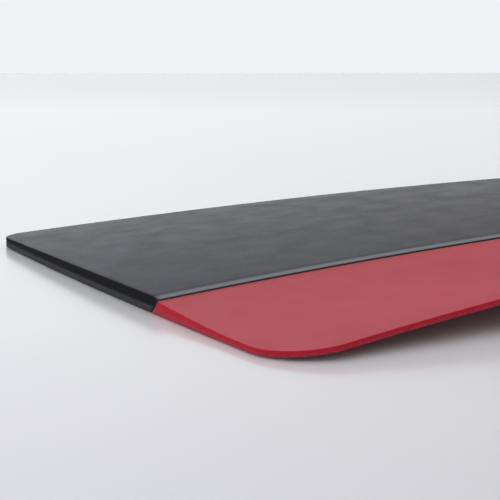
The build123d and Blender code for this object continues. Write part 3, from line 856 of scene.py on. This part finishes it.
def cushion_bar(bm, centre, size, rounding):
    """Adds a small box with rounded edges."""
    made = bmesh.ops.create_cube(bm, size=1.0)["verts"]
    bmesh.ops.scale(bm, vec=size, verts=made)
    bmesh.ops.translate(bm, vec=centre, verts=made)
    edges = list({e for v in made for e in v.link_edges})
    bmesh.ops.bevel(bm, geom=edges, offset=rounding, segments=3, profile=0.5, affect="EDGES")


bm = node_mesh("cam_lever")
soften(bm, 0.55, 24.0)
cushion_bar(bm, (CAM_X - GRIP_BACK, 0, CAM_Z + 3.75), (0.7, 2 * GRIP_HALF, 0.7), 0.25)
stand_in(new_object("cam_thumb_lever", bm, LEVER_NYLON, 28.0), "lever", "cam_lever")

PAD_REAR, PAD_FRONT, PAD_HALF, PAD_RIBS = -33.0, -15.0, 7.0, 9
bm = bmesh.new()
pad_length = PAD_FRONT - PAD_REAR
pad_middle = CAM_X + (PAD_REAR + PAD_FRONT) / 2
cushion_bar(bm, (pad_middle, 0, CAM_Z + 2.85), (pad_length, 2 * PAD_HALF, 1.1), 0.3)
for i in range(PAD_RIBS):
    rib_x = CAM_X + PAD_REAR + pad_length * (i + 0.75) / (PAD_RIBS + 0.5)
    cushion_bar(bm, (rib_x, 0, CAM_Z + 3.45), (0.9, 2 * PAD_HALF - 2.4, 0.9), 0.3)
stand_in(new_object("ribbed_pad", bm, PAD_RUBBER), "lever", "lever_pad")

# ---------------------------------------------------------------- strap and its stop

STRAP_REAR_X, STRAP_MID_Z, STRAP_HALF, STRAP_THICK = 97.0, 11.1, 9.0, 1.5
EYE_X, EYE_Z, EYE_RADIUS = 172.0, 8.45, 2.65
LAP_REAR_X, LAP_FRONT_X = 153.5, 162.0
STOP_RIB_X, STOP_RIB_Z, STOP_RIB_HALF = 98.0, 13.32, 8.5


def strap_line():
    """Middle line of the strap in X and Z: forward, round the wire and back under itself."""
    lap_z = STRAP_MID_Z - STRAP_THICK
    dx, dz = LAP_FRONT_X - EYE_X, lap_z - EYE_Z
    touch = math.atan2(dz, dx) + math.acos(EYE_RADIUS / math.hypot(dx, dz)) - 2 * math.pi
    top = line((STRAP_REAR_X, STRAP_MID_Z), (EYE_X, STRAP_MID_Z))
    eye_turn = arc((EYE_X, EYE_Z), EYE_RADIUS, math.pi / 2, touch, 0.35)
    back = line(eye_turn[-1], (LAP_FRONT_X, lap_z)) + line((LAP_FRONT_X, lap_z), (LAP_REAR_X, lap_z))
    return top + eye_turn[:-1] + back + [(LAP_REAR_X, lap_z)]


def webbing_section():
    """Half-sunk grooves between the woven bands, and rounded selvedges, as (y, height) all round."""
    half = STRAP_THICK / 2
    face = []
    for i in range(49):
        y = -STRAP_HALF + half + (2 * STRAP_HALF - 2 * half) * i / 48
        groove = 0.10 * math.exp(-(((abs(y) - 6.2) / 0.35) ** 2)) + 0.04 * (1 - math.cos(y * 4.2)) / 2
        face.append((y, half - groove))
    angles = [math.pi / 6 * k for k in range(-2, 3)]
    selvedge = [(half * math.cos(a), half * math.sin(a)) for a in angles]
    right_edge = [(STRAP_HALF - half + dy, -dz) for dy, dz in selvedge]
    left_edge = [(-STRAP_HALF + half - dy, dz) for dy, dz in selvedge]
    return face + right_edge + [(y, -z) for y, z in reversed(face)] + left_edge


bm = bmesh.new()
middle_line = strap_line()
rings = []
for i, (x, z) in enumerate(middle_line):
    before, after = middle_line[max(i - 1, 0)], middle_line[min(i + 1, len(middle_line) - 1)]
    along = Vector((after[0] - before[0], 0, after[1] - before[1])).normalized()
    up = Vector((-along.z, 0, along.x))
    rings.append([bm.verts.new(Vector((x, y, z)) + up * out) for y, out in webbing_section()])
ring_wall(bm, rings)
stand_in(new_object("webbing_strap", bm, WEBBING), "strap", "strap")

bm = node_mesh("strap_stop")
soften(bm, 0.25)
for i in range(3):
    cushion_bar(bm, (STOP_RIB_X + 2.0 * i, 0, STOP_RIB_Z), (0.8, 2 * STOP_RIB_HALF, 0.6), 0.2)
stand_in(new_object("ribbed_strap_stop", bm, NYLON, 28.0), "strap", "strap_stop")

# ---------------------------------------------------------------- wire loop

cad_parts["wire_bail"].data.materials.clear()
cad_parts["wire_bail"].data.materials.append(WIRE)
SLEEVE_X, SLEEVE_RADIUS, SLEEVE_HALF, WIRE_RADIUS = 217.0, 3.0, 19.0, 1.65
GROOVE_PITCH = 2.1
sleeve_end = [(3.0, 17.8), (2.95, 18.4), (2.75, 18.8), (2.3, SLEEVE_HALF), (WIRE_RADIUS, SLEEVE_HALF)]
sleeve_profile = [(radius, -height) for radius, height in reversed(sleeve_end)]
for i in range(-7, 8):
    groove = [(3.0, -0.5), (2.8, -0.2), (2.8, 0.2), (3.0, 0.5)]
    sleeve_profile += [(radius, GROOVE_PITCH * i + height) for radius, height in groove]
sleeve_profile += sleeve_end
bm = bmesh.new()
onto_y = Matrix.Rotation(-math.pi / 2, 3, "X")
lathe(bm, sleeve_profile, (SLEEVE_X, 0, SLEEVE_RADIUS), onto_y, ring=True)
stand_in(new_object("grooved_sleeve", bm, PAD_RUBBER), "bail", "bail_sleeve")

# ---------------------------------------------------------------- cloth pieces, measured flat; the sizes are not used

for piece, outline, lies_on, on_it in (
    (plush_black, BLACK_OUT, "floor", [film_piece, coat_black]),
    (plush_red, RED_OUT, "floor", [coat_red]),
    (patch, PATCH_OUT, "membrane_film", [patch_thread]),
):
    width, length, area = flat_size(outline)

# ---------------------------------------------------------------- stage

PITCH, YAW = math.radians(8.192), math.radians(27.279)
EYE_HEIGHT, EYE_ASIDE, EYE_BACK = 32.198, 4.164, 132.468
LENS = 90.0
FLOOR_GAP = 0.02

BACKDROP = (0.863, 0.879, 0.913)
LEFT_SKY, RIGHT_SKY = (1.07, 1.09, 1.16), (0.58, 0.575, 0.58)

right = Vector((math.cos(YAW), -math.sin(YAW), 0))
ahead = Vector((math.sin(YAW), math.cos(YAW), 0))
corner = Vector((TAIL_X, -TAIL_HALF, 0))
eye = corner - right * EYE_ASIDE - ahead * EYE_BACK + Vector((0, 0, EYE_HEIGHT))
gaze = ahead * math.cos(PITCH) - Vector((0, 0, math.sin(PITCH)))
camera_data = bpy.data.cameras.new("camera")
camera_data.lens = LENS
camera_data.sensor_width = 36.0
camera_data.clip_start = 0.005
camera_data.clip_end = 50.0
camera = bpy.data.objects.new("camera", camera_data)
camera.location = eye * MM
camera.rotation_mode = "QUATERNION"
camera.rotation_quaternion = gaze.to_track_quat("-Z", "Y")
bpy.context.scene.collection.objects.link(camera)
bpy.context.scene.camera = camera


def area_light(name, place, target, size, power):
    """Adds a soft round light aimed at a target."""
    data = bpy.data.lights.new(name, "AREA")
    data.shape = "DISK"
    data.size = size
    data.energy = power
    light = bpy.data.objects.new(name, data)
    light.location = place
    light.rotation_mode = "QUATERNION"
    light.rotation_quaternion = (Vector(target) - Vector(place)).to_track_quat("-Z", "Y")
    bpy.context.scene.collection.objects.link(light)


def make_floor():
    """A pale glossy table, its colour ramped from darker near the camera to paler with distance: painted
    light falloff that fades into the background.
    """
    bm = bmesh.new()
    bmesh.ops.create_grid(bm, x_segments=12, y_segments=12, size=12000)
    s = Shader("floor", (0.75, 0.75, 0.77), 0.17)
    s.bsdf.inputs["Subsurface Weight"].default_value = 0.7
    s.bsdf.inputs["Subsurface Radius"].default_value = (1.0, 1.0, 1.0)
    s.bsdf.inputs["Subsurface Scale"].default_value = 0.006
    away = s.node("ShaderNodeVectorMath", operation="LENGTH")
    s.link(s.coords, away.inputs[0])
    # Painted light falloff: the floor's colour grows paler with distance from the camera
    painted_falloff_node = s.node("ShaderNodeValToRGB")
    ramp = painted_falloff_node.color_ramp
    ramp.elements.new(0.16).color = (0.765, 0.760, 0.755, 1)
    ramp.elements.new(0.32).color = (0.810, 0.810, 0.810, 1)
    ramp.elements[0].position, ramp.elements[0].color = 0.09, (0.700, 0.690, 0.715, 1)
    ramp.elements[-1].position, ramp.elements[-1].color = 0.9, (0.845, 0.840, 0.835, 1)
    s.link(away.outputs["Value"], painted_falloff_node.inputs["Fac"])
    s.colour(painted_falloff_node.outputs["Color"])
    floor = new_object("floor", bm, s.material)
    floor.location = (eye.x * MM, eye.y * MM, -FLOOR_GAP * MM)


make_floor()
area_light("key", (-0.5, 0.7, 1.3), (-0.15, 0.0, 0.0), 1.1, 3.0)
world = bpy.data.worlds.new("world")
bpy.context.scene.world = world
world.use_nodes = True
sky = world.node_tree


def sky_range(value, from_low, from_high):
    """A world node that turns a range of values into 0 to 1."""
    made = sky.nodes.new("ShaderNodeMapRange")
    made.interpolation_type = "SMOOTHSTEP"
    made.inputs["From Min"].default_value = from_low
    made.inputs["From Max"].default_value = from_high
    sky.links.new(value, made.inputs["Value"])
    return made.outputs["Result"]


def sky_mix(factor, first, second):
    """A world node that blends two colours."""
    made = sky.nodes.new("ShaderNodeMix")
    made.data_type = "RGBA"
    sky.links.new(factor, made.inputs["Factor"])
    for value, socket in ((first, made.inputs[6]), (second, made.inputs[7])):
        if isinstance(value, tuple):
            socket.default_value = (*value, 1)
        else:
            sky.links.new(value, socket)
    return made.outputs[2]


# A pale backdrop; above it the studio is brighter and bluer on the left and dimmer on the right
direction = sky.nodes.new("ShaderNodeTexCoord").outputs["Generated"]
upward = sky.nodes.new("ShaderNodeSeparateXYZ")
sky.links.new(direction, upward.inputs[0])
rightward = sky.nodes.new("ShaderNodeVectorMath")
rightward.operation = "DOT_PRODUCT"
rightward.inputs[1].default_value = right
sky.links.new(direction, rightward.inputs[0])
sides = sky_mix(sky_range(rightward.outputs["Value"], -0.30, 0.35), LEFT_SKY, RIGHT_SKY)
above = sky_range(upward.outputs["Z"], 0.05, 0.20)
sky.links.new(sky_mix(above, BACKDROP, sides), sky.nodes["Background"].inputs["Color"])
bpy.context.scene.view_settings.view_transform = "Standard"
